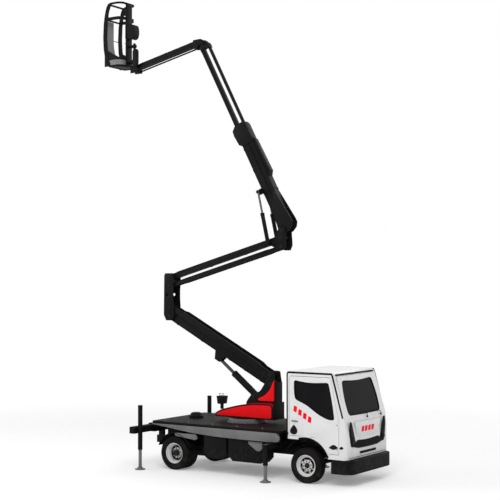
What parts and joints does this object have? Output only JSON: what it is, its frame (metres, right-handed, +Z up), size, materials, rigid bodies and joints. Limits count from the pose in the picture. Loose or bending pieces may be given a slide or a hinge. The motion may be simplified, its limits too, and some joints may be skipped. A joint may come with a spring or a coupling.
{
  "type": "cherry picker truck",
  "caption": "Small cab-over lorry with stabilisers and a slewing double-parallelogram boom, telescope, jib and work basket.",
  "frame": {"origin": "on the ground, midway between the basket's outer side and the bumper, on the centre line", "axes": "+X forward, +Y to the left side, +Z up; wheels and stabiliser pads stand on z = 0"},
  "size_m": [7.2648, 3, 11.0871],
  "materials": {
    "black_paint": "satin black",
    "boom_paint": "satin black",
    "cab_paint": "gloss light grey",
    "red_paint": "gloss red",
    "grey_paint": "satin mid grey",
    "rim_paint": "satin light grey",
    "tinted_glass": "dark tinted",
    "tyre": "matt",
    "cast_iron": "rough",
    "cab_trim": "matt black",
    "chrome_rod": "polished"
  },
  "bodies": {
    "chassis": {"frame": "black_paint", "axles": "black_paint", "springs": "black_paint", "engine": "cast_iron", "side_boxes": "black_paint", "deck": "black_paint", "housings": "black_paint", "mudguards": "black_paint", "cab_shell": "cab_paint", "bumper": "black_paint", "cab_glass": "tinted_glass", "interior": "cab_trim", "slew_base": "grey_paint"},
    "door_right": {"door_right": "cab_paint", "door_glass_right": "tinted_glass"},
    "door_left": {"door_left": "cab_paint", "door_glass_left": "tinted_glass"},
    "knuckle_right": {"knuckle_right": "cast_iron"},
    "knuckle_left": {"knuckle_left": "cast_iron"},
    "wheel_front_right": {"tyre_front_right": "tyre", "rim_front_right": "rim_paint"},
    "wheel_front_left": {"tyre_front_left": "tyre", "rim_front_left": "rim_paint"},
    "wheel_rear_right": {"tyre_rear_right": "tyre", "rim_rear_right": "rim_paint"},
    "wheel_rear_left": {"tyre_rear_left": "tyre", "rim_rear_left": "rim_paint"},
    "beam_front_right": {"beam_front_right": "black_paint"},
    "jack_front_right": {"jack_front_right": "grey_paint"},
    "beam_front_left": {"beam_front_left": "black_paint"},
    "jack_front_left": {"jack_front_left": "grey_paint"},
    "beam_rear_right": {"beam_rear_right": "black_paint"},
    "jack_rear_right": {"jack_rear_right": "grey_paint"},
    "beam_rear_left": {"beam_rear_left": "black_paint"},
    "jack_rear_left": {"jack_rear_left": "grey_paint"},
    "turret": {"turret": "red_paint", "turret_frame": "black_paint", "control_post": "black_paint"},
    "lower_arm": {"lower_arm": "boom_paint"},
    "lower_tie": {"lower_tie": "boom_paint"},
    "lower_barrel": {"lower_barrel": "boom_paint"},
    "lower_rod": {"lower_rod": "chrome_rod"},
    "riser": {"riser": "boom_paint"},
    "upper_arm": {"upper_arm": "boom_paint"},
    "upper_tie": {"upper_tie": "boom_paint"},
    "head": {"head": "boom_paint"},
    "boom_outer": {"boom_outer": "boom_paint"},
    "boom_barrels": {"boom_barrels": "boom_paint"},
    "boom_rods": {"boom_rods": "chrome_rod"},
    "boom_inner": {"boom_inner": "boom_paint"},
    "jib_base": {"jib_base": "boom_paint"},
    "jib": {"jib": "boom_paint"},
    "jib_tie": {"jib_tie": "boom_paint"},
    "bracket": {"bracket": "boom_paint"},
    "basket": {"basket": "boom_paint", "basket_panels": "grey_paint"}
  },
  "joints": [
    {"name": "steer_right", "type": "hinge", "parent": "chassis", "child": "knuckle_right", "pos_m": [2.52742, -0.66, 0.375], "axis": [0, 0, 1], "range_deg": [-30, 30]},
    {"name": "steer_left", "type": "hinge", "parent": "chassis", "child": "knuckle_left", "pos_m": [2.52742, 0.66, 0.375], "axis": [0, 0, 1], "range_deg": [-30, 30]},
    {"name": "wheel_front_right", "type": "hinge", "parent": "knuckle_right", "child": "wheel_front_right", "pos_m": [2.52742, -0.82, 0.375], "axis": [0, 1, 0], "continuous": true},
    {"name": "wheel_front_left", "type": "hinge", "parent": "knuckle_left", "child": "wheel_front_left", "pos_m": [2.52742, 0.82, 0.375], "axis": [0, 1, 0], "continuous": true},
    {"name": "wheel_rear_right", "type": "hinge", "parent": "chassis", "child": "wheel_rear_right", "pos_m": [-0.91258, -0.88, 0.375], "axis": [0, 1, 0], "continuous": true},
    {"name": "wheel_rear_left", "type": "hinge", "parent": "chassis", "child": "wheel_rear_left", "pos_m": [-0.91258, 0.88, 0.375], "axis": [0, 1, 0], "continuous": true},
    {"name": "door_right_hinge", "type": "hinge", "parent": "chassis", "child": "door_right", "pos_m": [3.32742, -0.93, 0.92], "axis": [0, 0, 1], "range_deg": [0, 68]},
    {"name": "door_left_hinge", "type": "hinge", "parent": "chassis", "child": "door_left", "pos_m": [3.32742, 0.93, 0.92], "axis": [0, 0, -1], "range_deg": [0, 68]},
    {"name": "beam_front_right_slide", "type": "slide", "parent": "chassis", "child": "beam_front_right", "axis": [0, -1, 0], "range_m": [-0.4, 0]},
    {"name": "jack_front_right_slide", "type": "slide", "parent": "beam_front_right", "child": "jack_front_right", "axis": [0, 0, -1], "range_m": [-0.25, 0]},
    {"name": "beam_front_left_slide", "type": "slide", "parent": "chassis", "child": "beam_front_left", "axis": [0, 1, 0], "range_m": [-0.4, 0]},
    {"name": "jack_front_left_slide", "type": "slide", "parent": "beam_front_left", "child": "jack_front_left", "axis": [0, 0, -1], "range_m": [-0.25, 0]},
    {"name": "beam_rear_right_slide", "type": "slide", "parent": "chassis", "child": "beam_rear_right", "axis": [0, -1, 0], "range_m": [-0.4, 0]},
    {"name": "jack_rear_right_slide", "type": "slide", "parent": "beam_rear_right", "child": "jack_rear_right", "axis": [0, 0, -1], "range_m": [-0.3, 0]},
    {"name": "beam_rear_left_slide", "type": "slide", "parent": "chassis", "child": "beam_rear_left", "axis": [0, 1, 0], "range_m": [-0.4, 0]},
    {"name": "jack_rear_left_slide", "type": "slide", "parent": "beam_rear_left", "child": "jack_rear_left", "axis": [0, 0, -1], "range_m": [-0.3, 0]},
    {"name": "slew", "type": "hinge", "parent": "chassis", "child": "turret", "pos_m": [0.42902, 0, 1.08], "axis": [0, 0, 1], "range_deg": [0, 360]},
    {"name": "lower_lift", "type": "hinge", "parent": "turret", "child": "lower_arm", "pos_m": [1.13902, 0, 1.965], "axis": [0, 1, 0], "range_deg": [-27.65, 32]},
    {"name": "lower_tie_pivot", "type": "hinge", "parent": "turret", "child": "lower_tie", "pos_m": [1.13902, 0, 2.175], "axis": [0, 1, 0], "range_deg": [-28, 33]},
    {"name": "lower_barrel_pivot", "type": "hinge", "parent": "turret", "child": "lower_barrel", "pos_m": [0.69902, 0, 1.67], "axis": [0, 1, 0], "range_deg": [-31.55, 36.36]},
    {"name": "lower_rod_slide", "type": "slide", "parent": "lower_barrel", "child": "lower_rod", "axis": [-0.7864, 0, 0.6178], "range_m": [-0.1978, 0.2273]},
    {"name": "riser_level", "type": "hinge", "parent": "lower_arm", "child": "riser", "pos_m": [-1.69554, 0, 3.45002], "axis": [0, 1, 0], "range_deg": [-33, 28]},
    {"name": "upper_lift", "type": "hinge", "parent": "riser", "child": "upper_arm", "pos_m": [-1.69554, 0, 4.36502], "axis": [0, -1, 0], "range_deg": [-15.6, 44]},
    {"name": "upper_tie_pivot", "type": "hinge", "parent": "riser", "child": "upper_tie", "pos_m": [-1.69554, 0, 4.16502], "axis": [0, -1, 0], "range_deg": [-16, 45]},
    {"name": "head_level", "type": "hinge", "parent": "upper_arm", "child": "head", "pos_m": [1.42511, 0, 5.23632], "axis": [0, -1, 0], "range_deg": [-45, 16]},
    {"name": "main_lift", "type": "hinge", "parent": "head", "child": "boom_outer", "pos_m": [1.43421, 0, 5.38926], "axis": [0, 1, 0], "range_deg": [-52, 17]},
    {"name": "boom_barrel_pivot", "type": "hinge", "parent": "head", "child": "boom_barrels", "pos_m": [1.12421, 0, 5.11026], "axis": [0, 1, 0], "range_deg": [-48.7, 16.59]},
    {"name": "boom_rod_slide", "type": "slide", "parent": "boom_barrels", "child": "boom_rods", "axis": [-0.2222, 0, 0.975], "range_m": [-0.3584, 0.1239]},
    {"name": "telescope", "type": "slide", "parent": "boom_outer", "child": "boom_inner", "axis": [-0.4633, 0, 0.8862], "range_m": [-1.6, 0]},
    {"name": "jib_base_level", "type": "hinge", "parent": "boom_inner", "child": "jib_base", "pos_m": [-0.80674, 0, 9.84848], "axis": [0, 1, 0], "range_deg": [-17.5, 52.5]},
    {"name": "jib_lift", "type": "hinge", "parent": "jib_base", "child": "jib", "pos_m": [-0.98674, 0, 9.86848], "axis": [0, 1, 0], "range_deg": [-60, 60]},
    {"name": "jib_tie_pivot", "type": "hinge", "parent": "jib_base", "child": "jib_tie", "pos_m": [-0.96274, 0, 9.76113], "axis": [0, 1, 0], "range_deg": [-61, 61]},
    {"name": "basket_level", "type": "hinge", "parent": "jib", "child": "bracket", "pos_m": [-2.78242, 0, 9.46709], "axis": [0, 1, 0], "range_deg": [-61, 61]},
    {"name": "basket_turn", "type": "hinge", "parent": "bracket", "child": "basket", "pos_m": [-2.88242, 0, 9.48709], "axis": [0, 0, 1], "range_deg": [-90, 90]}
  ],
  "couplings": [
    {"joint": "steer_left", "follows": "steer_right", "ratio": 1},
    {"joint": "lower_tie_pivot", "follows": "lower_lift", "ratio": 1},
    {"joint": "lower_barrel_pivot", "follows": "lower_lift", "ratio": 1.1051},
    {"joint": "lower_rod_slide", "follows": "lower_lift", "m_per_rad": 0.38908},
    {"joint": "riser_level", "follows": "lower_lift", "ratio": -1},
    {"joint": "upper_tie_pivot", "follows": "upper_lift", "ratio": 1},
    {"joint": "head_level", "follows": "upper_lift", "ratio": -1},
    {"joint": "boom_barrel_pivot", "follows": "main_lift", "ratio": 0.91721},
    {"joint": "boom_rod_slide", "follows": "main_lift", "m_per_rad": 0.38392},
    {"joint": "jib_base_level", "follows": "main_lift", "ratio": -1},
    {"joint": "jib_tie_pivot", "follows": "jib_lift", "ratio": 1},
    {"joint": "basket_level", "follows": "jib_lift", "ratio": -1}
  ]
}
